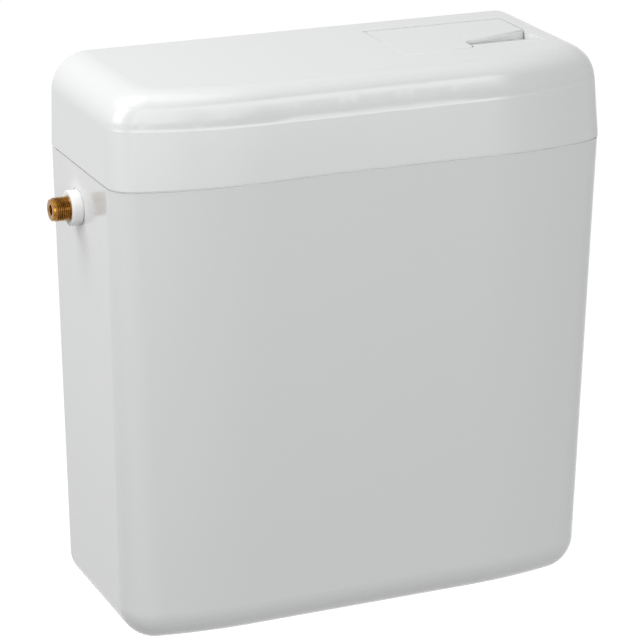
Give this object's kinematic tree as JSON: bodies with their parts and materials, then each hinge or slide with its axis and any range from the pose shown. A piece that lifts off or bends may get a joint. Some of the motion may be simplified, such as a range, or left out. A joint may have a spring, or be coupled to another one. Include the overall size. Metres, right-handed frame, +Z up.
{
  "type": "toilet cistern",
  "caption": "Wall-hung plastic toilet cistern with lift-off lid, push key, float-operated fill valve and lifting flush valve.",
  "frame": {"origin": "on the wall face, midway between the two hanging screws", "axes": "+Z up, -Y out of the wall towards the user, +X to the right as seen from the front"},
  "size_m": [0.3899, 0.1481, 0.403],
  "materials": {
    "white_shell": "glossy moulded",
    "white_plastic": "satin moulded",
    "grey_plastic": "satin moulded",
    "blue_plastic": "satin moulded",
    "float_foam": "fine beaded",
    "brass": "turned",
    "rubber": "matt",
    "steel": "bright drawn"
  },
  "bodies": {
    "tank": {"tank_body": "white_shell", "valve_base": "white_plastic", "base_seal": "rubber", "base_nut": "white_plastic", "valve_tower": "blue_plastic", "pipe_seal": "rubber", "pipe_nut": "white_plastic", "inlet_tail": "brass", "inlet_nut": "white_plastic", "inlet_seal": "rubber", "fill_valve_body": "white_plastic", "fill_valve_cap": "blue_plastic", "diaphragm": "rubber", "silencer_tube": "grey_plastic", "float_pin": "steel", "rocker_bracket": "white_plastic", "rocker_pin": "steel", "bracket_screws": "steel", "blanking_plug": "white_shell", "plug_seal": "rubber", "plug_nut": "white_plastic"},
    "cover": {"lid": "white_shell", "key_hinge_pin": "steel", "key_spring": "steel"},
    "key": {"flush_key": "white_shell"},
    "rocker": {"flush_rocker": "white_plastic"},
    "plunger": {"overflow_tube": "white_plastic", "flush_seal": "rubber", "seal_clamp": "grey_plastic", "lift_rod": "grey_plastic", "lift_nut": "blue_plastic"},
    "float": {"float_lever": "white_plastic", "water_float": "float_foam", "float_screw": "grey_plastic"},
    "pin": {"valve_pin": "steel"}
  },
  "joints": [
    {"name": "lid_lift", "type": "slide", "parent": "tank", "child": "cover", "axis": [0, 0, 1], "range_m": [0, 0.1]},
    {"name": "key_press", "type": "hinge", "parent": "cover", "child": "key", "pos_m": [0.0973, -0.0296, 0.0945], "axis": [1, 0, 0], "range_deg": [0, 7], "stiffness_Nm_per_rad": 1.5, "springref_deg": -5.73, "deforming": ["key_spring"]},
    {"name": "rocker_tilt", "type": "hinge", "parent": "tank", "child": "rocker", "pos_m": [0.062, -0.068, 0.071], "axis": [0, 1, 0], "range_deg": [0, 13]},
    {"name": "plunger_lift", "type": "slide", "parent": "tank", "child": "plunger", "axis": [0, 0, 1], "range_m": [0, 0.0142]},
    {"name": "float_swing", "type": "hinge", "parent": "tank", "child": "float", "pos_m": [-0.11338, -0.052, -0.005], "axis": [0, -1, 0], "range_deg": [0, 15]},
    {"name": "pin_push", "type": "slide", "parent": "tank", "child": "pin", "axis": [-1, 0, 0], "range_m": [0, 0.0026]}
  ],
  "couplings": [
    {"joint": "rocker_tilt", "follows": "key_press", "ratio": 1.836},
    {"joint": "plunger_lift", "follows": "key_press", "m_per_rad": 0.1138},
    {"joint": "pin_push", "follows": "float_swing", "m_per_rad": 0.00955}
  ]
}
